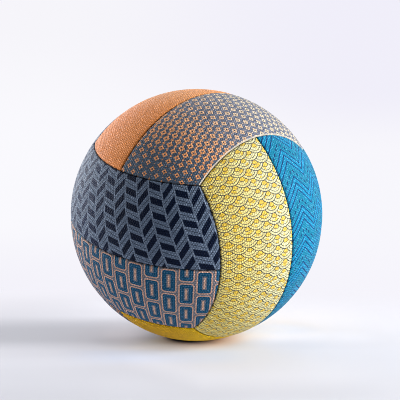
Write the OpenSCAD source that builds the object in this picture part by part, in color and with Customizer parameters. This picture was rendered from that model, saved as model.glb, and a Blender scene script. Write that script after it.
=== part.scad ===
// Hand-stitched netball of twelve equal panels.
//
// The seams follow a cube drawn on a sphere. Each of the six faces is split
// into two strips by a seam through its middle, and ends at two seams that are
// circles about the face's own axis. A face's long sides belong to the end
// circles of its neighbours. All twelve panels are the same shape turned round
// the ball.
//
// Outside to inside: pebbled rubber skin, cloth lining, stitched edges turned
// in between the panels, then a rubber bladder that swells into every panel.

/* [Ball] */
// Circumference of the inflated ball, over the rubber
circumference = 700; // [690:1:710]
// Lean of the ball about the frame's X axis, as it lies at rest
lean_x = 10.3; // [-20:0.1:20]
// Lean of the ball about the frame's Y axis, as it lies at rest
lean_y = 13; // [-20:0.1:20]
// Turn of the ball about the vertical, as it lies at rest
turn_z = -43.4; // [-90:0.1:90]

/* [Cover] */
// Thickness of the rubber skin
skin_t = 1.2; // [0.9:0.1:1.4]
// Thickness of the laminated cloth behind the skin
lining_t = 1.0; // [0.8:0.1:1.2]
// Depth of the turned-in edge, from the outside of the ball
edge_depth = 4.6; // [4.2:0.1:5]
// Gap between two panels along a seam
seam_gap = 0.3; // [0.2:0.05:0.4]

/* [Stitching] */
// Radius of the waxed thread that runs beside a seam
thread_r = 0.3; // [0.25:0.05:0.35]
// Distance from one stitch to the next
stitch_pitch = 6; // [5:0.5:9]
// Bare length at each end of a seam
seam_end = 5.2; // [5:0.1:8]

/* [Bladder] */
// Wall thickness of the bladder
bladder_t = 0.7; // [0.6:0.1:0.9]
// Air gap between the bladder and the cover
bladder_gap = 0.1; // [0.05:0.05:0.2]
// Radius of the patch that balances the valve
patch_r = 16; // [10:1:18]
// Thickness of the patch that balances the valve
patch_t = 2.4; // [1:0.1:3]

/* [Valve] */
// Angle of the valve from the mid seam of its face
valve_angle = 17.6; // [15:0.1:20]
// Radius of the hole in the panel
valve_hole_r = 4.2; // [4.1:0.1:5]
// Radius of the needle's hole
needle_r = 1.0; // [0.9:0.05:1.1]
// Straight length of the needle's hole
needle_len = 5; // [4:0.5:6]

/* [Hidden] */
$fn = 96;
ball_r = circumference / (2 * PI);
face_cone = acos(1 / sqrt(3));     // half angle of the circle round a face
g = seam_gap / 2;
lining_r = ball_r - skin_t;        // outside of the lining
inner_r = lining_r - lining_t;     // inside of the lining
tip_r = ball_r - edge_depth;       // turned-in edges end here
stitch_r = (inner_r + tip_r) / 2;  // depth of the stitching
run_off = g + skin_t + lining_t + thread_r + 0.02; // a thread run's distance from its seam
bladder_r = inner_r - bladder_gap;
channel = run_off + thread_r + 0.2; // half width of the room round a seam's edges
reach = ball_r + 4;
thread_sides = 8;                  // flats round a waxed thread
ring_r = 15;                       // stiffening ring behind the valve hole
ring_t = 0.6;
ring_seat_r = inner_r - ring_t - bladder_gap;
valve_top = ball_r - 0.5;

// directions of the six faces, in the ball's own frame
front_right = [1, 0, 0];
back_left = [-1, 0, 0];
back_right = [0, 1, 0];
front_left = [0, -1, 0];
top = [0, 0, 1];
bottom = [0, 0, -1];

slate = "#4b5869";
deep_blue = "#1c4a76";
yellow = "#e9cd4a";
bright_blue = "#1c8fc4";
orange = "#d4915f";
plain_yellow = "#e2b92b";
cloth = "#d9d4c6";
cord = "#2b2d33";
gum = "#2a2522";

// ---- frames ----

// The ball as it lies at rest
module at_rest() rotate([lean_x, lean_y, turn_z]) children();

// Turns +Z to a face's direction n and +X to its side w
module on_face(n, w) {
    s = cross(n, w);
    multmatrix([
        [w.x, s.x, n.x, 0],
        [w.y, s.y, n.y, 0],
        [w.z, s.z, n.z, 0],
        [0, 0, 0, 1]
    ]) children();
}

// The valve's axis along +Z, from the ball's centre
module on_valve() on_face(back_left, back_right) rotate([0, valve_angle, 0]) children();

// ---- building shapes, for the panel at +Z beside +X ----

// A sphere with its poles and its seam line away from the panel
module ball(r) rotate([0, 90, 0]) sphere(r = r);

// The widening cone round +Z that bounds a face, moved out by a and cut off near its apex
module face_bound(a) translate([0, 0, a + 30])
    cylinder(h = reach, r1 = 30 * tan(face_cone), r2 = (30 + reach) * tan(face_cone));

// Everything within the panel's border, set in by d from each seam
module within(d) {
    a = d / sin(face_cone);
    difference() {
        intersection() {
            face_bound(a);
            translate([d, -2 * reach, 0]) cube([2 * reach, 4 * reach, 2 * reach]);
        }
        rotate([0, 90, 0]) face_bound(-a);
    }
}

// One layer of the cover with its turned-in edges: outer radius r, thickness t, set in by d
module layer(r, t, d) difference() {
    intersection() {
        difference() { ball(r); ball(tip_r); }
        within(d);
    }
    intersection() { ball(r - t); within(d + t); }
}

module skin_layer() layer(ball_r, skin_t, g);
module lining_layer() layer(lining_r, lining_t, g + skin_t);

module valve_hole(r) on_valve() translate([0, 0, ball_r - 20]) cylinder(h = 40, r = r);

module skin(n, w, c, valve = false) color(c) at_rest() difference() {
    on_face(n, w) skin_layer();
    if (valve) valve_hole(valve_hole_r);
}

module lining(n, w, valve = false) color(cloth) at_rest() difference() {
    on_face(n, w) lining_layer();
    if (valve) valve_hole(valve_hole_r);
}

// Two runs of thread, one on each side of a face's mid seam, and the stitches
// that join them through the four thicknesses of cover
module mid_stitching() {
    a = face_cone - seam_end / stitch_r * 180 / PI;
    count = floor(2 * a * PI / 180 * stitch_r / stitch_pitch);
    rotate([0, -90, 0]) union() {
        for (k = [-1, 1])
            translate([0, 0, k * run_off]) rotate([0, 0, -a])
                rotate_extrude(angle = 2 * a) translate([stitch_r, 0]) circle(r = thread_r, $fn = thread_sides);
        for (i = [0:count])
            rotate([0, 0, -a + 0.4 + (2 * a - 0.8) * i / count])
                translate([stitch_r, 0, -run_off]) cylinder(h = 2 * run_off, r = thread_r * 0.8, $fn = thread_sides);
    }
}

// The same beside an end seam: the quarter of the circle about +Z that faces +Y
module end_stitching() {
    ring = stitch_r * sin(face_cone);
    a = 45 - seam_end / ring * 180 / PI;
    count = floor(2 * a * PI / 180 * ring / stitch_pitch);
    union() {
        for (k = [-1, 1])
            translate([0, 0, stitch_r * cos(face_cone) - k * run_off * sin(face_cone)])
                rotate([0, 0, 90 - a]) rotate_extrude(angle = 2 * a)
                    translate([ring + k * run_off * cos(face_cone), 0]) circle(r = thread_r, $fn = thread_sides);
        for (i = [0:count])
            rotate([0, 0, 90 - a + 0.4 + (2 * a - 0.8) * i / count])
                translate([ring, 0, stitch_r * cos(face_cone)]) rotate([0, 90 + face_cone, 0])
                    translate([0, 0, -run_off]) cylinder(h = 2 * run_off, r = thread_r * 0.8, $fn = thread_sides);
    }
}

module mid_thread(n, w) color(cord) at_rest() on_face(n, w) mid_stitching();
module end_thread(n, w) color(cord) at_rest() on_face(n, w) end_stitching();

// ---- cover panels ----

module front_left_upper_panel() skin(front_left, top, slate);
module front_left_lower_panel() skin(front_left, bottom, deep_blue);
module front_right_near_panel() skin(front_right, front_left, yellow);
module front_right_far_panel() skin(front_right, back_right, bright_blue);
module top_right_panel() skin(top, front_right, slate);
module top_left_panel() skin(top, back_left, orange);
module back_right_upper_panel() skin(back_right, top, slate);
module back_right_lower_panel() skin(back_right, bottom, deep_blue);
module back_left_near_panel() skin(back_left, front_left, yellow);
module back_left_far_panel() skin(back_left, back_right, bright_blue, valve = true);
module bottom_right_panel() skin(bottom, front_right, plain_yellow);
module bottom_left_panel() skin(bottom, back_left, slate);

// ---- linings ----

module front_left_upper_lining() lining(front_left, top);
module front_left_lower_lining() lining(front_left, bottom);
module front_right_near_lining() lining(front_right, front_left);
module front_right_far_lining() lining(front_right, back_right);
module top_right_lining() lining(top, front_right);
module top_left_lining() lining(top, back_left);
module back_right_upper_lining() lining(back_right, top);
module back_right_lower_lining() lining(back_right, bottom);
module back_left_near_lining() lining(back_left, front_left);
module back_left_far_lining() lining(back_left, back_right, valve = true);
module bottom_right_lining() lining(bottom, front_right);
module bottom_left_lining() lining(bottom, back_left);

// ---- stitching, one thread a seam ----

module front_left_mid_seam_thread() mid_thread(front_left, top);
module front_right_mid_seam_thread() mid_thread(front_right, back_right);
module top_mid_seam_thread() mid_thread(top, front_right);
module back_right_mid_seam_thread() mid_thread(back_right, top);
module back_left_mid_seam_thread() mid_thread(back_left, back_right);
module bottom_mid_seam_thread() mid_thread(bottom, front_right);

module top_front_left_seam_thread() end_thread(top, back_left);
module top_back_right_seam_thread() end_thread(top, front_right);
module bottom_front_left_seam_thread() end_thread(bottom, front_right);
module bottom_back_right_seam_thread() end_thread(bottom, back_left);
module front_right_top_seam_thread() end_thread(front_right, back_right);
module front_right_bottom_seam_thread() end_thread(front_right, front_left);
module back_left_top_seam_thread() end_thread(back_left, front_left);
module back_left_bottom_seam_thread() end_thread(back_left, back_right);
module front_left_front_right_seam_thread() end_thread(front_left, bottom);
module front_left_back_left_seam_thread() end_thread(front_left, top);
module back_right_front_right_seam_thread() end_thread(back_right, top);
module back_right_back_left_seam_thread() end_thread(back_right, bottom);

// ---- bladder ----

// A ball of radius r that swells to big_r within each panel, set in by d. The
// core's poles are turned away from every seam.
module swollen(r, big_r, d) union() {
    rotate([37, 23, 11]) sphere(r = r);
    for (n = [front_right, back_left, back_right, front_left, top, bottom])
        for (k = [-1, 1])
            on_face(n, k * [n.z, n.x, n.y])
                intersection() {
                    difference() { ball(big_r); ball(r - 2); }
                    within(d);
                }
}

// What a disc of radius r round the valve cuts off outside radius seat
module above_seat(r, seat) difference() {
    on_valve() translate([0, 0, seat - 6]) cylinder(h = 20, r = r);
    ball(seat);
}

module bladder() color(gum) at_rest() difference() {
    swollen(tip_r - bladder_gap, bladder_r, channel);
    difference() {
        swollen(tip_r - bladder_gap - bladder_t, bladder_r - bladder_t, channel + bladder_t);
        above_seat(ring_r + 0.4 + bladder_t, ring_seat_r - bladder_t);
    }
    above_seat(ring_r + 0.4, ring_seat_r);
    on_valve() translate([0, 0, ball_r - 20]) cylinder(h = 40, r = 4);
}

module bladder_balance_patch() color(gum) at_rest() intersection() {
    difference() {
        ball(bladder_r - bladder_t);
        ball(bladder_r - bladder_t - patch_t);
    }
    mirror([1, 0, 0]) mirror([0, 1, 0]) on_valve() translate([0, 0, 60]) cylinder(h = 60, r = patch_r);
}

// ---- valve ----

module valve_stiffening_ring() color(cloth) at_rest() difference() {
    intersection() {
        difference() { ball(inner_r); ball(inner_r - ring_t); }
        on_valve() translate([0, 0, 60]) cylinder(h = 60, r = ring_r);
    }
    valve_hole(valve_hole_r);
}

// Neck, bonded flange and the pocket inside the bladder, open for the core
module valve_body() color(gum) at_rest() difference() {
    union() {
        intersection() {
            difference() { ball(ring_seat_r - bladder_t); ball(ring_seat_r - bladder_t - 1.2); }
            on_valve() translate([0, 0, 60]) cylinder(h = 60, r = 13);
        }
        on_valve() rotate_extrude() polygon([
            [0, ball_r - 18], [5, ball_r - 18], [5.5, ball_r - 17.5], [5.5, ball_r - 4.4],
            [4, ball_r - 3.6], [4, valve_top - 0.3], [3.7, valve_top], [0, valve_top]
        ]);
    }
    on_valve() rotate_extrude() polygon([
        [0, ball_r - 30], [1.2, ball_r - 30], [1.2, ball_r - 16.5], [2.5, ball_r - 16.5],
        [2.5, ball_r - 11.5], [3.1, ball_r - 11.2], [3.1, ball_r - 9.8], [2.5, ball_r - 9.5],
        [2.5, valve_top - 1], [3.2, valve_top - 1], [3.2, valve_top + 5], [0, valve_top + 5]
    ]);
}

// Plug with a funnel and a straight hole that guides the needle to the closed slit
module valve_core() color("#17181a") at_rest() on_valve() rotate_extrude() polygon([
    [0, ball_r - 16.5], [2.1, ball_r - 16.5], [2.5, ball_r - 16.1],
    [2.5, ball_r - 11.5], [3.1, ball_r - 11.2], [3.1, ball_r - 9.8], [2.5, ball_r - 9.5],
    [2.5, valve_top - 1], [3.2, valve_top - 1], [3.2, valve_top - 0.35], [3.05, valve_top - 0.2],
    [1.9, valve_top - 0.2], [needle_r, valve_top - 1],
    [needle_r, valve_top - 1 - needle_len], [0, valve_top - 1 - needle_len]
]);

front_left_upper_panel();
front_left_lower_panel();
front_right_near_panel();
front_right_far_panel();
top_right_panel();
top_left_panel();
back_right_upper_panel();
back_right_lower_panel();
back_left_near_panel();
back_left_far_panel();
bottom_right_panel();
bottom_left_panel();
front_left_upper_lining();
front_left_lower_lining();
front_right_near_lining();
front_right_far_lining();
top_right_lining();
top_left_lining();
back_right_upper_lining();
back_right_lower_lining();
back_left_near_lining();
back_left_far_lining();
bottom_right_lining();
bottom_left_lining();
front_left_mid_seam_thread();
front_right_mid_seam_thread();
top_mid_seam_thread();
back_right_mid_seam_thread();
back_left_mid_seam_thread();
bottom_mid_seam_thread();
top_front_left_seam_thread();
top_back_right_seam_thread();
bottom_front_left_seam_thread();
bottom_back_right_seam_thread();
front_right_top_seam_thread();
front_right_bottom_seam_thread();
back_left_top_seam_thread();
back_left_bottom_seam_thread();
front_left_front_right_seam_thread();
front_left_back_left_seam_thread();
back_right_front_right_seam_thread();
back_right_back_left_seam_thread();
bladder();
bladder_balance_patch();
valve_stiffening_ring();
valve_body();
valve_core();
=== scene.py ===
"""A hand-stitched netball of twelve printed, pebbled rubber panels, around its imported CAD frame.

Each cover panel is a mesh of its own with its turned-in edges, swollen between
its seams and drawn in at every stitch. It replaces the CAD panel. The linings,
threads, bladder and valve keep their CAD shape and get their own finish.
"""

import math

import bpy
import numpy as np
from mathutils import Matrix, Vector


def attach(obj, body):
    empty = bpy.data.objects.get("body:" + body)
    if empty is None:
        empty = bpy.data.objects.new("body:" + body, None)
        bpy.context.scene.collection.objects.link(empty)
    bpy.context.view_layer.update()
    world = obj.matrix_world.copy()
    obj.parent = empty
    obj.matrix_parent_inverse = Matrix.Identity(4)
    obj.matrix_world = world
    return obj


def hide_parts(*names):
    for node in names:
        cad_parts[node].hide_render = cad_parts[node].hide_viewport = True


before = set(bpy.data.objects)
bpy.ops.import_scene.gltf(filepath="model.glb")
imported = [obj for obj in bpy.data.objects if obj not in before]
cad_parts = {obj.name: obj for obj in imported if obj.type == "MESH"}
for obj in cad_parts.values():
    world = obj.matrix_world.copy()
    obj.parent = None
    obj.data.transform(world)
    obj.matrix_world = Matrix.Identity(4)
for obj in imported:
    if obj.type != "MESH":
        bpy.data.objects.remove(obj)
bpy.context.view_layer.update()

# ---------------------------------------------------------------- sizes, mm
MM = 0.001
R = 700 / (2 * math.pi)           # outside of the ball
CONE = math.acos(1 / math.sqrt(3))  # half angle of the circle round a face
WIDE = math.pi / 2 - CONE         # angle from a mid seam to a long side
GAP = 0.15                        # half the gap along a seam
SKIN = 1.2                        # thickness of the rubber
DEPTH = 4.6                       # turned-in edges end here
SHOULDER_W, SHOULDER_H = 2.1, 1.05  # the rolled edge beside a seam
CROWN = 0.28                      # how far a panel swells between its seams
CORNER = 1.3                      # blend of two rolled edges at a corner
STITCH = 6.0                      # stitch pitch
VALVE = math.radians(17.6)        # the valve's angle from the mid seam
HOLE, RIM = 4.2, 0.65             # the hole over the valve and its rounded rim

# distances from a panel's edge at which the mesh has a row of points
EDGE = np.array([0, 0.07, 0.18, 0.33, 0.53, 0.78, 1.08, 1.42, 1.85, 2.35, 3.0, 3.8])
ROWS, COLS = 50, 206              # rows and columns between the edge rows

LEAN = (10.3, 13.0, -43.4)        # the ball's lean about X and Y, and its turn


def rest_turn():
    x, y, z = (math.radians(a) for a in LEAN)
    return Matrix.Rotation(z, 3, "Z") @ Matrix.Rotation(y, 3, "Y") @ Matrix.Rotation(x, 3, "X")


FACES = {
    "front_right": (1, 0, 0), "back_left": (-1, 0, 0),
    "back_right": (0, 1, 0), "front_left": (0, -1, 0),
    "top": (0, 0, 1), "bottom": (0, 0, -1),
}

# CAD node, its face, the side of the face it lies on, its finish
PANELS = [
    ("front_left_upper_panel", "front_left", "top", "skin_slate_navy"),
    ("front_left_lower_panel", "front_left", "bottom", "skin_blue_salmon"),
    ("front_right_near_panel", "front_right", "front_left", "skin_yellow_line"),
    ("front_right_far_panel", "front_right", "back_right", "skin_bright_blue"),
    ("top_right_panel", "top", "front_right", "skin_slate_orange"),
    ("top_left_panel", "top", "back_left", "skin_plain_orange"),
    ("back_right_upper_panel", "back_right", "top", "skin_bright_blue"),
    ("back_right_lower_panel", "back_right", "bottom", "skin_yellow_line"),
    ("back_left_near_panel", "back_left", "front_left", "skin_slate_navy"),
    ("back_left_far_panel", "back_left", "back_right", "skin_blue_salmon"),
    ("bottom_right_panel", "bottom", "front_right", "skin_plain_yellow"),
    ("bottom_left_panel", "bottom", "back_left", "skin_slate_orange"),
]


# ---------------------------------------------------------------- panel mesh
def directions(phi, lam):
    """Unit vectors of points at angle phi from the mid seam and lam along it."""
    return np.stack(
        [np.sin(phi) * np.ones_like(lam), np.cos(phi) * np.sin(lam), np.cos(phi) * np.cos(lam)], -1
    )


def end_angle(phi, inset):
    """How far along the mid seam's direction the panel reaches, set in from its end seam."""
    return np.arccos(np.cos(CONE - inset / R) / np.cos(phi))


def smooth_min(a, b, k):
    h = np.clip(0.5 + 0.5 * (b - a) / k, 0, 1)
    return b + (a - b) * h - k * h * (1 - h)


def undulation(p):
    """Slow unevenness of a sewn and inflated cover, mm, for unit vectors in the ball's frame."""
    x, y, z = p[..., 0], p[..., 1], p[..., 2]
    return (
        0.05 * np.sin(5.1 * x + 2.3 * y + 1.1) * np.cos(4.3 * z - 1.7 * x + 0.4)
        + 0.04 * np.sin(9.7 * y - 3.1 * z + 2.2) * np.sin(8.9 * x + 4.1 * z + 0.9)
        + 0.02 * np.sin(17.3 * z + 6.2 * x + 0.3) * np.sin(15.1 * y + 3.3)
    )


def depth(u, turn):
    """How far the cover lies below the ball's full radius, mm, for directions u in the panel's frame."""
    x, y, z = u[..., 0], u[..., 1], u[..., 2]
    side = np.arcsin(np.clip(x, -1, 1))
    d_mid = R * side - GAP
    d_long = R * (WIDE - side) - GAP
    d_end = R * (CONE - np.arccos(np.clip(z, -1, 1))) - GAP
    d = smooth_min(smooth_min(d_mid, d_long, CORNER), d_end, CORNER)
    d = np.clip(d, 0, None)
    roll = 1 - np.minimum(d, SHOULDER_W) / SHOULDER_W
    out = SHOULDER_H * (1 - np.sqrt(np.clip(1 - roll**2, 0, 1))) + CROWN * np.exp(-d / 6.5)
    # each stitch draws its seam in a little, the same on both sides of the seam
    lam = np.arctan2(y, z)
    ball = u @ np.array(turn).T
    pull = 0.75 + 0.25 * np.sin(31 * ball[..., 0] + 23 * ball[..., 1] + 27 * ball[..., 2])
    ring = R * math.sin(CONE)
    for dist, s in ((d_mid, R * lam), (d_long, ring * lam), (d_end, ring * np.arctan2(x, np.abs(y)))):
        near = np.exp(-((np.clip(dist, 0, None) / 1.9) ** 2))
        out = out + 0.1 * pull * near * (0.5 + 0.5 * np.cos(2 * math.pi * s / STITCH))
    return out + 0.11 + undulation(ball)


class Shell:
    """Points and faces of one panel, with two UV maps: millimetres on the panel, and the bake's."""

    def __init__(self):
        self.points, self.count, self.faces = [], 0, []

    def add(self, pts):
        self.points.append(pts.reshape(-1, 3))
        ids = self.count + np.arange(pts[..., 0].size).reshape(pts.shape[:-1])
        self.count += ids.size
        return ids

    def faces_of(self, ids, mm, bake, slot=0):
        """ids (n, 3 or 4), with a UV pair for each corner in mm and bake."""
        self.faces.append((ids, mm, bake, slot))

    def grid(self, ids, mm, bake, slot=0, flip=False, keep=None):
        """Quads over a grid of points."""
        corners = [(0, 0), (1, 0), (1, 1), (0, 1)]
        if flip:
            corners = corners[::-1]
        n, m = ids.shape[0] - 1, ids.shape[1] - 1

        def pick(a):
            return np.stack([a[i : i + n, j : j + m] for i, j in corners], 2).reshape((n * m, 4) + a.shape[2:])

        f, a, b = pick(ids), pick(mm), pick(bake)
        if keep is not None:
            k = keep.reshape(-1)
            f, a, b = f[k], a[k], b[k]
        self.faces_of(f, a, b, slot)

    def mesh(self, name, turn, slots):
        pts = np.concatenate(self.points) @ np.array(turn).T * MM
        used = np.unique(np.concatenate([f.reshape(-1) for f, _, _, _ in self.faces]))
        new = np.full(len(pts), -1)
        new[used] = np.arange(len(used))
        pts = pts[used]
        faces, mm, bake, slot = [], [], [], []
        for f, a, b, s in self.faces:
            faces += new[f].tolist()
            mm.append(a.reshape(-1, 2))
            bake.append(b.reshape(-1, 2))
            slot.append(np.full(len(f), s))
        me = bpy.data.meshes.new(name)
        me.from_pydata(pts.tolist(), [], faces)
        for uv_name, uv in (("PanelMM", mm), ("OFBake", bake)):
            layer = me.uv_layers.new(name=uv_name)
            layer.data.foreach_set("uv", np.concatenate(uv).astype(np.float32).reshape(-1))
        me.polygons.foreach_set("material_index", np.concatenate(slot).astype(np.int32))
        me.polygons.foreach_set("use_smooth", np.ones(len(me.polygons), bool))
        for m in slots:
            me.materials.append(m)
        me.update()
        me.validate()
        return me


def panel_shell(turn, valve):
    """One cover panel, in its own frame: its face's direction is +Z and its side of the face +X."""
    wide = R * WIDE
    q = np.concatenate([
        GAP + EDGE,
        np.linspace(GAP + EDGE[-1], wide - GAP - EDGE[-1], ROWS + 1)[1:-1],
        wide - GAP - EDGE[::-1],
    ])
    phi = (q / R)[:, None]
    ends = np.concatenate([end_angle(phi, GAP + e) for e in EDGE], 1)
    middle = ends[:, -1:] * np.linspace(-1, 1, COLS + 1)[None, 1:-1]
    lam = np.concatenate([-ends, middle, ends[:, ::-1]], 1)
    share = lam / ends[:, :1]
    nr, nc = lam.shape[0] - 1, lam.shape[1] - 1

    def inset(d):
        """The same grid drawn together so that its border lies d inside the seams."""
        f = d / R + (phi - phi[0]) / (phi[-1] - phi[0]) * (WIDE - 2 * d / R)
        return directions(f, share * end_angle(f, d))

    def millimetres(u):
        return np.stack([R * np.arctan2(u[..., 1], u[..., 2]) * math.cos(VALVE), R * np.arcsin(u[..., 0])], -1)

    def bake_place(u):
        side = np.clip(np.arcsin(u[..., 0]), GAP / R, WIDE - GAP / R)
        t = np.arctan2(u[..., 1], u[..., 2]) / end_angle(side, GAP)
        v = (side - GAP / R) / (WIDE - 2 * GAP / R)
        return np.stack([0.5 + 0.493 * np.clip(t, -1, 1), 0.125 + 0.868 * v], -1)

    shell = Shell()
    u = directions(phi, lam)
    outer = shell.add(u * (R - depth(u, turn))[..., None])
    keep = None
    r0, r1 = nr // 2 - 8, nr // 2 + 8
    c0, c1 = nc // 2 - 10, nc // 2 + 10
    if valve:
        keep = np.ones((nr, nc), bool)
        keep[r0:r1, c0:c1] = False
    shell.grid(outer, millimetres(u), bake_place(u), keep=keep)

    # turned-in edge: down beside the seam, round its tip and up behind
    walk = (
        [(0, j) for j in range(nc)] + [(i, nc) for i in range(nr)]
        + [(nr, j) for j in range(nc, 0, -1)] + [(i, 0) for i in range(nr, 0, -1)]
    )
    wi, wj = np.array(walk).T
    border = outer[wi, wj]
    levels = [
        (GAP, R - 1.95), (GAP, R - 3.2), (GAP, R - 4.3), (GAP + 0.1, R - 4.5),
        (GAP + 0.3, R - 4.58), (GAP + 0.9, R - 4.58), (1.33, R - 4.3), (1.33, R - 2.9), (1.33, R - 1.5),
    ]
    loops, dirs = [border], [u[wi, wj]]
    for d, r in levels:
        w = inset(d)[wi, wj]
        loops.append(shell.add(w * r))
        dirs.append(w)
    loops, dirs = np.array(loops), np.array(dirs)
    starts = [0, nc, nc + nr, 2 * nc + nr, 2 * (nc + nr)]
    total = starts[-1]
    for side in range(4):
        k = np.arange(starts[side], starts[side + 1] + 1)
        along = (k - k[0]) / (k[-1] - k[0])
        across = np.linspace(0, 1, len(loops))
        bake = np.stack(np.meshgrid(0.007 + 0.986 * along, 0.036 + 0.02 * side + 0.012 * across), -1)
        shell.grid(loops[:, k % total], millimetres(dirs[:, k % total]), bake)

    # the back of the skin, against the lining
    back = inset(1.65)
    step = 1 if valve else 4
    back = back[::step, ::step]
    ids = shell.add(back * (R - SKIN + 0.03))
    back_bake = np.stack([
        np.broadcast_to(np.linspace(0.01, 0.99, back.shape[1])[None], back.shape[:2]),
        np.broadcast_to(np.linspace(0.004, 0.026, back.shape[0])[:, None], back.shape[:2]),
    ], -1)
    keep = None
    if valve:
        keep = np.ones((nr, nc), bool)
        keep[r0:r1, c0:c1] = False
    shell.grid(ids, millimetres(back), back_bake, slot=1, flip=True, keep=keep)
    tail, tail_dirs = loops[-1], dirs[-1]
    if valve:
        rim = ids[wi, wj]
        k = np.arange(total + 1) % total
        two = np.array([tail[k], rim[k]])
        uv = np.stack([back_bake[wi, wj][k], back_bake[wi, wj][k]])
        shell.grid(two, np.stack([millimetres(tail_dirs[k])] * 2), uv, slot=1)
    else:
        coarse = np.arange(0, total, 4)
        rim = ids[wi[coarse] // 4, wj[coarse] // 4]
        rim_uv = back_bake[wi[coarse] // 4, wj[coarse] // 4]
        n = len(coarse)
        b0, b1 = np.arange(n), (np.arange(n) + 1) % n
        a = [(coarse + k) % total for k in range(5)]
        fan = [(a[0], a[1], None, b0), (a[1], a[2], None, b0), (a[2], None, b1, b0), (a[2], a[3], None, b1), (a[3], a[4], None, b1)]
        for first, second, third, fourth in fan:
            if second is None:
                f = np.stack([tail[first], rim[third], rim[fourth]], 1)
            else:
                f = np.stack([tail[first], tail[second], rim[fourth]], 1)
            uv = np.stack([rim_uv[fourth]] * 3, 1)
            shell.faces_of(f[:, ::-1], np.zeros_like(uv), uv, 1)

    if valve:
        add_valve_hole(shell, turn, u, outer, back, ids, (r0, r1, c0, c1), millimetres, bake_place, back_bake)
    return shell


def add_valve_hole(shell, turn, u, outer, back, inner, block, millimetres, bake_place, back_bake):
    """A round hole with a rounded rim, meshed in rings between it and the grid round it."""
    r0, r1, c0, c1 = block
    walk = (
        [(r0, j) for j in range(c0, c1)] + [(i, c1) for i in range(r0, r1)]
        + [(r1, j) for j in range(c1, c0, -1)] + [(i, c0) for i in range(r1, r0, -1)]
    )
    wi, wj = np.array(walk).T
    axis = np.array([math.sin(VALVE), 0, math.cos(VALVE)])
    e1 = np.array([math.cos(VALVE), 0, -math.sin(VALVE)])
    e2 = np.array([0.0, 1, 0])

    def polar(w):
        return R * np.arccos(w @ axis), np.arctan2(w @ e2, w @ e1)

    def at(rho, theta):
        a = (rho / R)[..., None]
        return np.cos(a) * axis + np.sin(a) * (np.cos(theta)[..., None] * e1 + np.sin(theta)[..., None] * e2)

    def rings(grid_dirs, grid_ids, stops, radius_of):
        rho, theta = polar(grid_dirs[wi, wj])
        loops, dirs = [grid_ids[wi, wj]], [grid_dirs[wi, wj]]
        first = stops[0][0]
        for s in np.linspace(0, 1, 10)[1:]:
            w = at(rho + (first - rho) * s, theta)
            loops.append(shell.add(w * radius_of(w, 0)[..., None]))
            dirs.append(w)
        for r, down in stops[1:]:
            w = at(np.full_like(rho, r), theta)
            loops.append(shell.add(w * radius_of(w, down)[..., None]))
            dirs.append(w)
        return np.array(loops), np.array(dirs)

    arc = np.radians(np.linspace(0, 90, 8))
    stops = [(HOLE + RIM * (1 - math.sin(a)), RIM * (1 - math.cos(a))) for a in arc]
    top, top_dirs = rings(u, outer, stops, lambda w, down: R - depth(w, turn) - down)
    k = np.arange(len(wi) + 1) % len(wi)
    mm = millimetres(top_dirs[:, k])
    shell.grid(top[:, k], mm, bake_place(top_dirs[:, k]), flip=True)
    low, low_dirs = rings(back, inner, [(HOLE + 0.1, 0)], lambda w, down: np.full(w.shape[:-1], R - SKIN + 0.03))
    uv = np.broadcast_to(np.stack([0.5 + 0.002 * np.cos(2 * math.pi * k / len(wi)), 0.015 + 0 * k], -1), low[:, k].shape + (2,))
    shell.grid(low[:, k], millimetres(low_dirs[:, k]), uv, slot=1)
    two = np.array([top[-1][k], low[-1][k]])
    band = np.stack(np.meshgrid(np.linspace(0.01, 0.2, len(k)), [0.112, 0.118]), -1)
    shell.grid(two, np.stack([mm[-1], mm[-1]]), band, flip=True)


# ---------------------------------------------------------------- node maths
def srgb(r, g, b):
    def one(c):
        c /= 255
        return c / 12.92 if c <= 0.04045 else ((c + 0.055) / 1.055) ** 2.4

    return (one(r), one(g), one(b), 1.0)


class Num:
    """A number on the surface. Arithmetic with it adds math nodes."""

    def __init__(self, g, socket):
        self.g, self.socket = g, socket

    def __add__(self, o): return self.g.math("ADD", self, o)
    def __radd__(self, o): return self.g.math("ADD", o, self)
    def __sub__(self, o): return self.g.math("SUBTRACT", self, o)
    def __rsub__(self, o): return self.g.math("SUBTRACT", o, self)
    def __mul__(self, o): return self.g.math("MULTIPLY", self, o)
    def __rmul__(self, o): return self.g.math("MULTIPLY", o, self)
    def __truediv__(self, o): return self.g.math("DIVIDE", self, o)
    def __rtruediv__(self, o): return self.g.math("DIVIDE", o, self)
    def __neg__(self): return self.g.math("MULTIPLY", self, -1.0)


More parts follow.
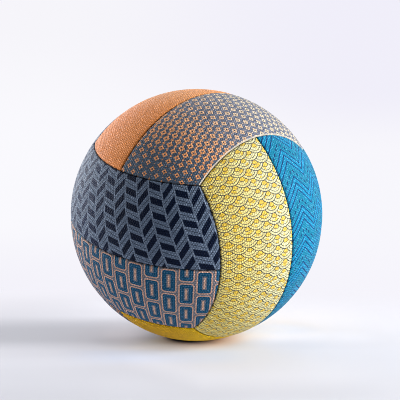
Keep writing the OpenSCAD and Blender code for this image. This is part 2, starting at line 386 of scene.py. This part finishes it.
class Graph:
    def __init__(self, name, colour=(0.5, 0.5, 0.5, 1)):
        self.mat = bpy.data.materials.new(name)
        self.mat.use_nodes = True
        self.mat.diffuse_color = colour
        self.tree = self.mat.node_tree
        self.tree.nodes.clear()
        self.out = self.node("ShaderNodeOutputMaterial")
        self.shader = self.node("ShaderNodeBsdfPrincipled")
        self.tree.links.new(self.shader.outputs["BSDF"], self.out.inputs["Surface"])

    def node(self, kind, **props):
        n = self.tree.nodes.new(kind)
        for k, v in props.items():
            setattr(n, k, v)
        return n

    def put(self, socket, value):
        if isinstance(value, Num):
            self.tree.links.new(value.socket, socket)
        elif isinstance(value, bpy.types.NodeSocket):
            self.tree.links.new(value, socket)
        else:
            socket.default_value = value

    def math(self, op, *args, clamp=False):
        n = self.node("ShaderNodeMath", operation=op, use_clamp=clamp)
        for s, a in zip(n.inputs, args):
            self.put(s, a)
        return Num(self, n.outputs[0])

    def floor(self, a): return self.math("FLOOR", a)
    def fract(self, a): return self.math("FRACT", a)
    def abs(self, a): return self.math("ABSOLUTE", a)
    def min(self, a, b): return self.math("MINIMUM", a, b)
    def max(self, a, b): return self.math("MAXIMUM", a, b)
    def sin(self, a): return self.math("SINE", a)
    def mod(self, a, b): return self.math("FLOORED_MODULO", a, b)
    def power(self, a, b): return self.math("POWER", a, b)

    def smooth(self, a, lo, hi):
        """0 at lo and 1 at hi, smooth between; hi may be below lo."""
        n = self.node("ShaderNodeMapRange", interpolation_type="SMOOTHSTEP", clamp=True)
        flip = hi < lo if not isinstance(hi, Num) and not isinstance(lo, Num) else False
        a_lo, a_hi = (hi, lo) if flip else (lo, hi)
        self.put(n.inputs["Value"], a)
        self.put(n.inputs["From Min"], a_lo)
        self.put(n.inputs["From Max"], a_hi)
        n.inputs["To Min"].default_value = 1.0 if flip else 0.0
        n.inputs["To Max"].default_value = 0.0 if flip else 1.0
        return Num(self, n.outputs["Result"])

    def lerp(self, f, a, b):
        """a where f is 0, b where it is 1."""
        n = self.node("ShaderNodeMix", data_type="FLOAT", clamp_factor=True)
        self.put(n.inputs[0], f)
        self.put(n.inputs[2], a)
        self.put(n.inputs[3], b)
        return Num(self, n.outputs[0])

    def mix(self, f, a, b, blend="MIX"):
        """Colours: a where f is 0, b where it is 1."""
        n = self.node("ShaderNodeMix", data_type="RGBA", blend_type=blend, clamp_factor=True)
        self.put(n.inputs[0], f)
        self.put(n.inputs[6], a)
        self.put(n.inputs[7], b)
        return n.outputs[2]

    def vector(self, x, y, z=0.0):
        n = self.node("ShaderNodeCombineXYZ")
        for s, a in zip(n.inputs, (x, y, z)):
            self.put(s, a)
        return n.outputs[0]

    def length(self, x, y, z=0.0):
        n = self.node("ShaderNodeVectorMath", operation="LENGTH")
        self.tree.links.new(self.vector(x, y, z), n.inputs[0])
        return Num(self, n.outputs["Value"])

    def parts(self, socket):
        n = self.node("ShaderNodeSeparateXYZ")
        self.tree.links.new(socket, n.inputs[0])
        return [Num(self, s) for s in n.outputs]

    def noise(self, vector, scale, detail=2.0, rough=0.5):
        n = self.node("ShaderNodeTexNoise", noise_dimensions="3D")
        self.tree.links.new(vector, n.inputs["Vector"])
        n.inputs["Scale"].default_value = scale
        n.inputs["Detail"].default_value = detail
        n.inputs["Roughness"].default_value = rough
        return n

    def panel(self):
        """Millimetres along and across the panel."""
        n = self.node("ShaderNodeUVMap", uv_map="PanelMM")
        p, q, _ = self.parts(n.outputs[0])
        return p, q

    def place(self):
        """Millimetres in the row frame."""
        n = self.node("ShaderNodeTexCoord")
        s = self.node("ShaderNodeVectorMath", operation="SCALE")
        self.tree.links.new(n.outputs["Object"], s.inputs[0])
        s.inputs["Scale"].default_value = 1000
        return s.outputs[0]

    def turned(self, p, q, degrees):
        c, s = math.cos(math.radians(degrees)), math.sin(math.radians(degrees))
        return p * c - q * s, p * s + q * c

    def bump(self, height, distance=0.001, strength=1.0):
        n = self.node("ShaderNodeBump")
        n.inputs["Strength"].default_value = strength
        n.inputs["Distance"].default_value = distance
        self.put(n.inputs["Height"], height)
        self.tree.links.new(n.outputs["Normal"], self.shader.inputs["Normal"])


SLATE = srgb(106, 123, 146)
NAVY = srgb(0, 18, 46)
SALMON = srgb(225, 179, 155)
DEEP_BLUE = srgb(0, 83, 121)
YELLOW = srgb(229, 225, 174)
WARM_YELLOW = srgb(251, 231, 136)
GOLD = srgb(244, 202, 58)
INK = srgb(44, 54, 76)
BRIGHT = srgb(0, 129, 165)
VIOLET = srgb(0, 58, 112)
ORANGE = srgb(252, 157, 84)
CREAM = srgb(212, 202, 184)


# ---------------------------------------------------------------- printed skins
def feather(g, p, q):
    """Columns of slanted blocks that lean the other way in every second column, with thin lattice lines."""
    a, b = g.turned(p, q, 22)
    w, h = 11.4, 12.4
    col = g.floor(a / w)
    odd = g.mod(col, 2.0)
    x = (g.fract(a / w) - 0.5) * w
    y = b + x * (odd * 2.0 - 1.0) * 0.7 + odd * (h / 2)
    v = (g.fract(y / h) - 0.5) * h
    bar = g.max(g.abs(x) - 4.9, g.abs(v + x * 0.14) - 2.9)
    ink = g.smooth(bar, 0.16, -0.16)
    light = g.smooth(w / 2 - g.abs(x), 0.3, 0.14)
    dark = g.smooth(g.abs(h / 2 - g.abs(v)), 0.36, 0.16)
    ground = g.mix(g.smooth(p, -60.0, 25.0), srgb(102, 119, 142), srgb(112, 129, 152))
    ground = g.mix(light * 0.5, ground, srgb(156, 170, 190))
    ground = g.mix(dark, ground, srgb(22, 32, 50))
    # the ink is painted lighter and bluer towards the panel's high-p end, a painted bluish sheen
    return g.mix(ink, ground, g.mix(g.smooth(p, -25.0, 40.0), NAVY, srgb(2, 34, 76)))


def links(g, p, q):
    """Rounded links in running bond, each a wide ring inside a fine outline, with a short bar in it."""
    a, b = g.turned(p, q, 90)
    cw, ch = 23.0, 13.8
    j = g.floor(b / ch)
    x = (g.fract(a / cw + 0.5 * g.mod(j, 2.0)) - 0.5) * cw
    y = (g.fract(b / ch) - 0.5) * ch
    r = 3.2
    qx, qy = g.abs(x) - (cw / 2 - 0.45 - r), g.abs(y) - (ch / 2 - 0.45 - r)
    d = g.length(g.max(qx, 0.0), g.max(qy, 0.0)) + g.min(g.max(qx, qy), 0.0) - r
    outline = g.smooth(g.abs(d + 0.75) - 0.56, 0.14, -0.14)
    middle = g.smooth(g.max(g.abs(x) - 5.2, g.abs(y) - 0.7), 0.14, -0.14)
    slot = g.smooth(d, -4.5, -4.8)
    thin = g.smooth(g.abs(d + 2.9) - 0.2, 0.14, -0.14) * 0.55
    ground = g.mix(slot, DEEP_BLUE, srgb(122, 125, 136))
    ground = g.mix(thin, ground, srgb(88, 132, 160))
    ground = g.mix(g.smooth(d, -0.1, 0.1), ground, srgb(126, 127, 136))
    return g.mix(g.max(outline, middle), ground, SALMON)


def scales(g, p, q):
    """Rows of overlapping scales, drawn in thin lines, with a golden heart in each."""
    a, b = g.turned(p, q, 90)
    r = 8.8
    h = r / 2
    row = g.floor(b / h)
    odd = g.mod(row, 2.0)

    def dx(shift):
        t = g.fract(a / (2 * r) + 0.5 * shift) - 0.5
        return t * (2 * r)

    near = dx(1.0 - odd)
    far = dx(odd)
    dy = b - row * h
    d1 = g.length(near, dy + h)
    d2 = g.length(far, dy)
    d3 = g.length(near, dy - h)
    in1 = g.math("LESS_THAN", d1, r)
    in2 = g.math("LESS_THAN", d2, r)
    d = g.lerp(in1, g.lerp(in2, d3, d2), d1)
    line = g.smooth(g.abs(d - (r - 0.3)), 0.46, 0.26)
    line = g.max(line, g.smooth(g.abs(d - 6.3), 0.34, 0.16))
    line = g.max(line, g.smooth(g.abs(d - 3.4), 0.34, 0.16))
    blot = Num(g, g.noise(g.vector(p, q, 7.0), 0.16, 2.0).outputs[0])
    gold = g.max(g.smooth(d, 3.6, 3.3), g.smooth(blot, 0.54, 0.57) * g.smooth(d, 6.4, 6.2))
    # the yellow is painted paler along the panel's mid seam, a painted sheen, and stronger towards its lower end
    ground = g.mix(g.smooth(q, 8.0, R * WIDE - 10.0), YELLOW, WARM_YELLOW)
    ground = g.mix(0.6 * g.smooth(p, 20.0, 90.0), ground, WARM_YELLOW)
    fill = g.mix(gold * 0.85, ground, GOLD)
    return g.mix(line * 0.95, fill, INK)


def zigzag(g, p, q):
    """Thin zigzag lines in groups of three across the panel, with small dots between the groups."""
    w, s = R * WIDE / 2, 24.0
    a = g.abs(g.fract(q / w) - 0.5) * w
    t = g.fract((p + a * 0.85) / s) * s
    line = g.smooth(g.abs(g.abs(t - 8.0) - 5.4), 0.85, 0.55)
    line = g.max(line, g.smooth(g.abs(t - 8.0), 0.85, 0.55))
    dots = g.smooth(g.length(g.abs(g.abs(a - w / 4) - w / 8) - 1.9, t - 19.2), 1.25, 0.95)
    tone = g.mix(g.smooth(g.abs(t - 8.0), 6.8, 7.2), srgb(0, 138, 183), BRIGHT)
    return g.mix(g.max(line, dots), tone, VIOLET)


def stars(g, p, q):
    """Small four-point stars in staggered rows that grow along the panel, over a fine lattice."""
    a, b = g.turned(p, q, 12)
    s, h = 9.4, 5.4
    row = g.floor(b / h)
    odd = g.mod(row, 2.0)
    x = (g.fract(a / s + 0.5 * odd) - 0.5) * s
    y = (g.fract(b / h) - 0.5) * h
    size = 2.6 + 1.4 * g.smooth(p, -95.0, -50.0) - 0.6 * g.smooth(p, -58.0, -25.0) + 0.2 * g.smooth(p, 0.0, 40.0)
    star = g.power(g.abs(x), 0.75) + g.power(g.abs(y), 0.75) - g.power(size, 0.75)
    ink = g.smooth(star, 0.12, -0.12)
    eye = g.smooth(g.length(x, y), 0.85, 0.6)
    between = (g.fract(a / s + 0.5 * odd + 0.5) - 0.5) * s
    small = 0.5 + 1.3 * g.smooth(p, -92.0, -55.0) - 1.2 * g.smooth(p, -48.0, -10.0)
    ink = g.max(ink, g.smooth(g.abs(between) + g.abs(y) - small, 0.12, -0.12) * 0.85)
    paint = g.mix(g.smooth(p, -74.0, 30.0), srgb(246, 171, 116), srgb(226, 210, 180))
    ground = g.mix(g.smooth(p, -80.0, 0.0), srgb(84, 100, 118), srgb(120, 126, 144))
    thin = g.smooth(g.abs(y), h / 2 - 0.34, h / 2 - 0.14) * g.smooth(p, -100.0, -40.0)
    ground = g.mix(thin * 0.7, ground, srgb(44, 58, 84))
    colour = g.mix(eye, g.mix(ink, ground, paint), srgb(60, 70, 92))
    return g.mix(g.smooth(q, R * WIDE - 1.15, R * WIDE - 0.95), colour, CREAM)


def plain(colour, other, lo, hi, painted_light, start, end):
    """One colour at lo across the panel that turns to other at hi, with a soft mottle, and to painted_light from start
    to end along it: painted light over that end of the panel.
    """
    def paint(g, p, q):
        n = g.noise(g.vector(p, q, 3.0), 0.035, 3.0)
        f = g.smooth(q + (Num(g, n.outputs[0]) - 0.5) * 30.0, lo, hi)
        return g.mix(g.smooth(p, start, end), g.mix(f, colour, other), painted_light)

    return paint


PIMPLE = 2.1


def seam_shade(g, p, q, pale_long_side):
    """1 on a panel, less at its seams and least where a stitch draws its edge in."""
    phi, lam = q / R, p / (R * math.cos(VALVE))
    y, z = g.math("COSINE", phi) * g.sin(lam), g.math("COSINE", phi) * g.math("COSINE", lam)
    ring = R * math.sin(CONE)
    edges = [(q, R * lam), (R * (CONE - g.math("ARCCOSINE", z)), ring * g.math("ARCTAN2", g.sin(phi), g.abs(y)))]
    if not pale_long_side:
        edges.append((R * WIDE - q, ring * lam))
    total = 1.0
    for away, along in edges:
        stitch = g.smooth(g.math("COSINE", along * (2 * math.pi / STITCH)), -0.2, 0.9)
        total = total * (1.0 - g.smooth(away, 1.3, 0.4) * stitch * 0.6) * (1.0 - g.smooth(away, 0.9, 0.25) * 0.35)
    return total


def rubber_skin(name, paint, colour, valley_shade=0.66, crest_light=1.1, spread=0.06):
    """Pebbled rubber: round pimples in offset rows, printed over, with painted shade in the valleys and painted light
    on the pimple tops.
    """
    g = Graph(name, colour)
    p, q = g.panel()
    place = g.vector(p, q, 0.0)
    warp = g.parts(g.noise(place, 0.25, 1.0).outputs["Color"])
    pp = p + (warp[0] - 0.5) * 1.6
    qq = q + (warp[1] - 0.5) * 1.6
    b = qq / (PIMPLE * 0.866)
    row = g.floor(b + 0.5)
    a = pp / PIMPLE + 0.5 * g.mod(row, 2.0)
    col = g.floor(a + 0.5)
    d = g.length(a - col, (b - row) * 0.866)
    own = g.node("ShaderNodeTexWhiteNoise", noise_dimensions="2D")
    g.put(own.inputs["Vector"], g.vector(col, row, 0.0))
    height = 0.6 + 0.4 * Num(g, own.outputs["Value"])
    pimple = g.smooth(d, 0.48, 0.1) * height
    fine = Num(g, g.noise(place, 2.4, 3.0, 0.6).outputs[0])
    slow = Num(g, g.noise(place, 0.05, 3.0, 0.55).outputs[0])

    printed = paint(g, p, q)
    tone = Num(g, own.outputs["Value"])
    # painted shade and light of the pebble relief: the print is darker in the valleys and lighter on the pimple tops
    shade = g.lerp(pimple, valley_shade, crest_light) * g.lerp(tone, 1.0 - spread, 1.0 + spread) * g.lerp(slow, 0.95, 1.05) * g.lerp(fine, 0.88, 1.12)
    shade = shade * seam_shade(g, p, q, paint is stars)
    coloured = g.mix(1.0, printed, g.vector(shade, shade, shade), "MULTIPLY")
    # painted highlight: the tops of the highest pimples get a pale painted glint, except in dark ink
    grey = g.node("ShaderNodeRGBToBW")
    g.put(grey.inputs[0], printed)
    light = g.smooth(Num(g, grey.outputs[0]), 0.01, 0.1)
    bright = g.smooth(Num(g, grey.outputs[0]), 0.2, 0.45)
    painted_glint = g.smooth(pimple, 0.3, 0.8) * g.power(tone, 2.0) * light * (0.12 - 0.05 * bright)
    pale = g.mix(0.45 + 0.45 * bright, (1, 1, 1, 1), printed)
    coloured = g.mix(1.0, coloured, g.mix(1.0, pale, g.vector(painted_glint, painted_glint, painted_glint), "MULTIPLY"), "ADD")
    g.put(g.shader.inputs["Base Color"], coloured)
    rough = 0.34 + 0.08 * slow + 0.2 * (1.0 - pimple) + 0.06 * fine
    g.put(g.shader.inputs["Roughness"], rough)
    g.shader.inputs["IOR"].default_value = 1.5
    g.shader.inputs["Specular IOR Level"].default_value = 0.1
    g.bump(pimple * 0.34 + fine * 0.05, MM, 1.0)
    return g.mat


def back_rubber():
    """The unprinted back of the skin, with bonding marks."""
    g = Graph("skin_back_rubber", srgb(60, 60, 62))
    place = g.place()
    n = Num(g, g.noise(place, 0.4, 3.0).outputs[0])
    g.put(g.shader.inputs["Base Color"], g.mix(g.smooth(n, 0.35, 0.65), srgb(52, 52, 54), srgb(74, 73, 72)))
    g.shader.inputs["Roughness"].default_value = 0.8
    return g.mat


# ---------------------------------------------------------------- inner pieces
def cloth(name, light, dark, pitch):
    """Plain weave."""
    g = Graph(name, light)
    x, y, z = g.parts(g.place())
    k = 2 * math.pi / pitch
    over = g.sin(x * k) * g.sin(y * k) + g.sin(y * k) * g.sin(z * k) + g.sin(z * k) * g.sin(x * k)
    slub = Num(g, g.noise(g.place(), 0.25, 3.0).outputs[0])
    f = g.smooth(over + (slub - 0.5) * 1.4, -1.2, 1.2)
    g.put(g.shader.inputs["Base Color"], g.mix(f, dark, light))
    g.shader.inputs["Roughness"].default_value = 0.92
    g.shader.inputs["Sheen Weight"].default_value = 0.2
    return g.mat


def thread():
    """Waxed cord, laid in a twist."""
    g = Graph("waxed_thread", srgb(44, 46, 52))
    x, y, z = g.parts(g.place())
    lay = g.sin((x + y + z) * 9.0)
    wax = Num(g, g.noise(g.place(), 1.1, 3.0).outputs[0])
    f = g.smooth(lay + (wax - 0.5) * 1.5, -0.9, 0.9)
    g.put(g.shader.inputs["Base Color"], g.mix(f, srgb(26, 27, 31), srgb(66, 68, 76)))
    g.shader.inputs["Roughness"].default_value = 0.55
    return g.mat


def moulded(name, dark, light, rough, grain=0.8, bump=0.03):
    """Moulded rubber with a soft mottle and a fine grain."""
    g = Graph(name, light)
    place = g.place()
    slow = Num(g, g.noise(place, 0.09, 4.0).outputs[0])
    fine = Num(g, g.noise(place, grain, 3.0, 0.6).outputs[0])
    f = g.smooth(slow * 0.7 + fine * 0.3, 0.34, 0.66)
    g.put(g.shader.inputs["Base Color"], g.mix(f, dark, light))
    g.put(g.shader.inputs["Roughness"], rough + 0.14 * (fine - 0.5))
    g.bump(fine * bump, MM, 1.0)
    return g.mat


# ---------------------------------------------------------------- the ball
SKINS = {
    "skin_slate_navy": rubber_skin("skin_slate_navy", feather, SLATE),
    "skin_blue_salmon": rubber_skin("skin_blue_salmon", links, DEEP_BLUE),
    "skin_yellow_line": rubber_skin("skin_yellow_line", scales, YELLOW),
    "skin_bright_blue": rubber_skin("skin_bright_blue", zigzag, BRIGHT, 0.63, 1.16),
    "skin_slate_orange": rubber_skin("skin_slate_orange", stars, SLATE),
    # the orange is painted lighter along its mid seam and darker towards its long side, painted light and shade, and
    # paler where p is low, a painted sheen
    "skin_plain_orange": rubber_skin("skin_plain_orange", plain(ORANGE, srgb(239, 146, 81), 6.0, 44.0, srgb(243, 166, 105), 50.0, 5.0), ORANGE),
    # the yellow is darker towards its mid seam, and painted brighter than any paint (red 1.1) where p is low, a painted
    # bounce light from the floor
    "skin_plain_yellow": rubber_skin("skin_plain_yellow", plain(srgb(255, 206, 0), srgb(236, 180, 0), 76.0, 40.0, (1.1, 0.7, 0.0, 1), 70.0, 50.0), YELLOW, 0.42, 1.33, 0.14),
}
BACK = back_rubber()

for node, face, side, finish in PANELS:
    n, w = Vector(FACES[face]), Vector(FACES[side])
    own = Matrix((w, n.cross(w), n)).transposed()      # the panel's frame to the ball's
    shell = panel_shell(own, node == "back_left_far_panel")
    me = shell.mesh(node.replace("_panel", "_skin"), rest_turn() @ own, [SKINS[finish], BACK])
    skin = bpy.data.objects.new(node.replace("_panel", "_skin"), me)
    bpy.context.scene.collection.objects.link(skin)
    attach(skin, "root")
    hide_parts(node)

INNER = {
    "lining": cloth("lining_cloth", srgb(222, 217, 203), srgb(176, 170, 154), 1.3),
    "thread": thread(),
    "bladder": moulded("bladder_rubber", srgb(22, 22, 24), srgb(38, 38, 41), 0.42),
    "bladder_balance_patch": moulded("patch_rubber", srgb(40, 36, 33), srgb(58, 52, 48), 0.6),
    "valve_stiffening_ring": cloth("ring_cloth", srgb(206, 198, 178), srgb(158, 150, 128), 1.0),
    "valve_body": moulded("valve_rubber", srgb(18, 18, 19), srgb(34, 34, 36), 0.45, 1.6, 0.05),
    "valve_core": moulded("valve_core_rubber", srgb(12, 12, 13), srgb(26, 26, 28), 0.36, 1.6, 0.04),
}
for name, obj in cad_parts.items():
    if name.endswith("_panel"):
        continue
    key = "lining" if name.endswith("_lining") else "thread" if name.endswith("_thread") else name
    if not obj.material_slots:
        obj.data.materials.append(INNER[key])
    for s in obj.material_slots:
        s.material = INNER[key]


# ---------------------------------------------------------------- studio
FLOOR = 1.3                       # m; the wall starts here


def rings(name, prof, middle=False):
    """A round sheet on a profile of (radius, height)."""
    n = 96
    pts = [(0.0, 0.0, 0.0)] if middle else []
    k0 = len(pts)
    for r, z in prof:
        pts += [(r * math.cos(2 * math.pi * k / n), r * math.sin(2 * math.pi * k / n), z) for k in range(n)]
    faces = [(0, 1 + k, 1 + (k + 1) % n) for k in range(n)] if middle else []
    for i in range(len(prof) - 1):
        a, b = k0 + i * n, k0 + (i + 1) * n
        faces += [(a + k, b + k, b + (k + 1) % n, a + (k + 1) % n) for k in range(n)]
    me = bpy.data.meshes.new(name)
    me.from_pydata(pts, [], faces)
    me.polygons.foreach_set("use_smooth", np.ones(len(faces), bool))
    o = bpy.data.objects.new(name, me)
    o.location = (0, 0, -R * MM)
    bpy.context.scene.collection.objects.link(o)
    return o


def paper_glow(g, dim_left, dim_right, f):
    """The paper's glow, a little stronger on the left, and dimmer where f is 1."""
    x = g.parts(g.place())[0]
    side = g.smooth(x, -420.0, 420.0)
    full = g.mix(side, (0.952, 0.947, 0.986, 1), (0.933, 0.924, 0.972, 1))
    return g.mix(f, full, g.mix(side, dim_left, dim_right))


def backdrop():
    """A round paper floor, lit near the ball, where it also has painted shadow and painted light, and glowing far from
    it, and a wall that it curves up into.
    """
    g = Graph("floor_paper", srgb(236, 236, 242))
    x, y, z = g.parts(g.place())
    far = g.smooth(g.length(x, (y + 50.0) * 1.8), 200.0, 520.0)
    t = Num(g, g.noise(g.place(), 0.004, 2.0).outputs[0])
    paper = g.mix(t, srgb(184, 185, 192), srgb(187, 188, 195))
    # a painted cooler tint of the light on the paper, in front of the ball and on its right
    painted_cool_tint = g.smooth(y, -36.0, -54.0) * g.smooth(y, -100.0, -64.0) * g.smooth(x, 62.0, 10.0) * g.smooth(x, -130.0, -46.0)
    painted_cool_tint = g.max(painted_cool_tint, 0.7 * g.smooth(g.length(x - 74.0, (y - 30.0) * 1.4), 46.0, 14.0))
    paper = g.mix(painted_cool_tint, paper, srgb(176, 186, 205))
    # close to the ball the paper is painted warm, a painted reflection of the yellow above it, and painted dark around
    # and under the ball, a painted contact shadow
    paper = g.mix(0.8 * g.smooth(g.length(x - 4.0, y + 2.0), 48.0, 16.0), paper, srgb(200, 164, 122))
    near = g.length(x + 8.0, y)
    # painted contact shadow: a broad soft one, then a dark one right under the ball
    paper = g.mix(0.15 * g.smooth(g.length(x + 16.0, y * 1.5), 46.0, 22.0), paper, srgb(30, 18, 6))
    g.put(g.shader.inputs["Base Color"], g.mix(g.smooth(near, 24.0, 14.5), paper, srgb(30, 18, 6)))
    g.shader.inputs["Roughness"].default_value = 0.9
    g.shader.inputs["Specular IOR Level"].default_value = 0.1
    glow = g.node("ShaderNodeEmission")
    g.put(glow.inputs["Color"], paper_glow(g, (0.9, 0.887, 0.955, 1), (0.926, 0.913, 0.972, 1), g.smooth(y, 800.0, 180.0)))
    g.shader.inputs["Emission Color"].default_value = (0.905, 0.892, 0.95, 1)
    # painted light: the paper gives off light of its own, standing for light that reaches it from in front of the ball
    # and from its right:
    # none under the ball, less in the long shadow on the left (a painted shadow), and less towards the near edge
    shadow = g.smooth(g.abs(y - 14.0), 42.0, 18.0) * g.smooth(x, -56.0, -92.0)
    painted_pool = g.smooth(g.length(x, y - 22.0), 20.0, 84.0) * (0.2 - 0.055 * shadow)
    painted_pool = painted_pool - 0.035 * g.smooth(x, -40.0, -90.0) * g.smooth(y, 90.0, 50.0) - 0.05 * g.smooth(x, 112.0, 190.0) * g.smooth(y, -70.0, 10.0)
    bent = y + g.max(g.min(x + 10.0, 15.0), -50.0)
    painted_pool = painted_pool + 0.13 * g.smooth(y, -12.0, -50.0) * g.smooth(bent, -160.0, -100.0) * g.smooth(x, 180.0, 90.0)
    painted_pool = painted_pool + 0.18 * g.smooth(g.length(x - 64.0, y - 8.0), 62.0, 6.0)
    painted_pool = painted_pool + 0.08 * g.smooth(g.length(x - 116.0, (y + 4.0) * 1.6), 62.0, 10.0)
    painted_pool = painted_pool + 0.07 * g.smooth(g.length(x - 56.0, y + 4.0), 34.0, 6.0)
    painted_pool = painted_pool + g.smooth(y, 48.0, 92.0) * g.smooth(y, 190.0, 120.0) * g.smooth(x, 0.0, -70.0) * (0.1 + 0.1 * g.smooth(x, -200.0, -86.0))
    painted_pool = painted_pool - (0.1 - 0.05 * g.smooth(x, 0.0, 60.0)) * g.smooth(y, -135.0, -200.0) - 0.03 * g.smooth(y, -90.0, -140.0) * g.smooth(g.abs(x), 50.0, 140.0)
    painted_pool = painted_pool - 0.06 * g.smooth(g.length(x + 62.0, (y + 16.0) * 1.5), 42.0, 10.0)
    painted_pool = painted_pool + 0.06 * g.smooth(g.length(x + 2.0, (y + 34.0) * 2.0), 32.0, 8.0)
    painted_pool = painted_pool - 0.045 * g.smooth(g.length(x - 84.0, y - 36.0), 40.0, 12.0)
    g.put(g.shader.inputs["Emission Strength"], painted_pool * g.smooth(near, 12.0, 30.0))
    both = g.node("ShaderNodeMixShader")
    g.put(both.inputs[0], far)
    g.tree.links.new(g.shader.outputs["BSDF"], both.inputs[1])
    g.tree.links.new(glow.outputs[0], both.inputs[2])
    g.tree.links.new(both.outputs[0], g.out.inputs["Surface"])
    floor = rings("floor", [(r, 0.0) for r in np.linspace(0.02, FLOOR, 20)], middle=True)
    floor.data.materials.append(g.mat)

    g = Graph("wall_paper", srgb(240, 240, 246))
    glow = g.node("ShaderNodeEmission")
    x, y, z = g.parts(g.place())
    side = g.smooth(x, -420.0, 420.0)
    up = g.smooth(z, 80.0 - 20.0 * side, 420.0 - 190.0 * side)
    g.put(glow.inputs["Color"], paper_glow(g, (0.922, 0.913, 0.957, 1), (0.873, 0.858, 0.951, 1), up))
    g.tree.links.new(glow.outputs[0], g.out.inputs["Surface"])
    bend = 0.7
    prof = [(FLOOR + bend * math.sin(a), bend * (1 - math.cos(a))) for a in np.radians(np.linspace(0, 90, 16))]
    prof += [(FLOOR + bend, z) for z in np.linspace(bend + 0.3, 3.0, 6)]
    wall = rings("wall", prof)
    wall.data.materials.append(g.mat)
    wall.visible_diffuse = wall.visible_glossy = wall.visible_shadow = wall.visible_transmission = False


def area(name, place, aim, size, power, colour=(1, 1, 1)):
    data = bpy.data.lights.new(name, "AREA")
    data.shape = "RECTANGLE"
    data.size, data.size_y = size
    data.energy = power
    data.color = colour
    o = bpy.data.objects.new(name, data)
    o.location = place
    o.rotation_euler = (Vector(aim) - Vector(place)).to_track_quat("-Z", "Y").to_euler()
    bpy.context.scene.collection.objects.link(o)


def studio_world():
    """Broad soft lights low behind the ball, strongest on the left, and one above. Dark in front."""
    world = bpy.data.worlds.new("studio")
    world.use_nodes = True
    tree = world.node_tree
    coord = tree.nodes.new("ShaderNodeTexCoord")
    total = None
    for turn, rise, strength in ((45, 0.25, 1.25), (90, 1.2, 1.25), (135, 0.25, 5.3), (165, 0.1, 2.3)):
        dot = tree.nodes.new("ShaderNodeVectorMath")
        dot.operation = "DOT_PRODUCT"
        t = math.radians(turn)
        dot.inputs[1].default_value = Vector((math.cos(t), math.sin(t), rise)).normalized()
        tree.links.new(coord.outputs["Generated"], dot.inputs[0])
        lobe = None
        for op, value in (("MAXIMUM", 0.0), ("POWER", 6.0), ("MULTIPLY", strength)):
            n = tree.nodes.new("ShaderNodeMath")
            n.operation = op
            tree.links.new(lobe or dot.outputs["Value"], n.inputs[0])
            n.inputs[1].default_value = value
            lobe = n.outputs[0]
        if total is None:
            total = lobe
        else:
            n = tree.nodes.new("ShaderNodeMath")
            tree.links.new(total, n.inputs[0])
            tree.links.new(lobe, n.inputs[1])
            total = n.outputs[0]
    back = tree.nodes["Background"]
    back.inputs["Color"].default_value = (0.985, 0.985, 1.0, 1)
    tree.links.new(total, back.inputs["Strength"])
    bpy.context.scene.world = world


backdrop()
area("key_softbox", (1.153, -0.288, 0.386), (0, 0, 0), (0.3, 0.3), 15)
area("fill_softbox", (1.077, -0.502, 0.386), (0, 0, 0), (0.8, 0.8), 12)
studio_world()
bpy.context.scene.view_settings.view_transform = "Standard"
bpy.context.scene.view_settings.look = "None"
bpy.context.scene.cycles.filter_width = 1.0  # a crisp lens

# ---------------------------------------------------------------- camera
# The picture is 400 px square. The ball's outline in it is centred at (196.6, 214.7)
# with a radius of 126.1 px, seen from 8 radii away, 7 degrees above the horizontal.
FOCAL = 126.1 * math.sqrt(63)     # px
cam_data = bpy.data.cameras.new("camera")
cam_data.sensor_width = 36
cam_data.lens = FOCAL / 400 * 36
cam_data.clip_start, cam_data.clip_end = 0.01, 20
cam = bpy.data.objects.new("camera", cam_data)
e = math.radians(7)
cam.location = Vector((0, -math.cos(e), math.sin(e))) * (8 * R * MM)
look = (-cam.location).to_track_quat("-Z", "Y").to_matrix()
yaw, pitch = math.atan(-3.4 / FOCAL), math.atan(14.7 / FOCAL)
cam.rotation_euler = (look @ Matrix.Rotation(yaw, 3, "Y") @ Matrix.Rotation(pitch, 3, "X")).to_euler()
bpy.context.scene.collection.objects.link(cam)
bpy.context.scene.camera = cam
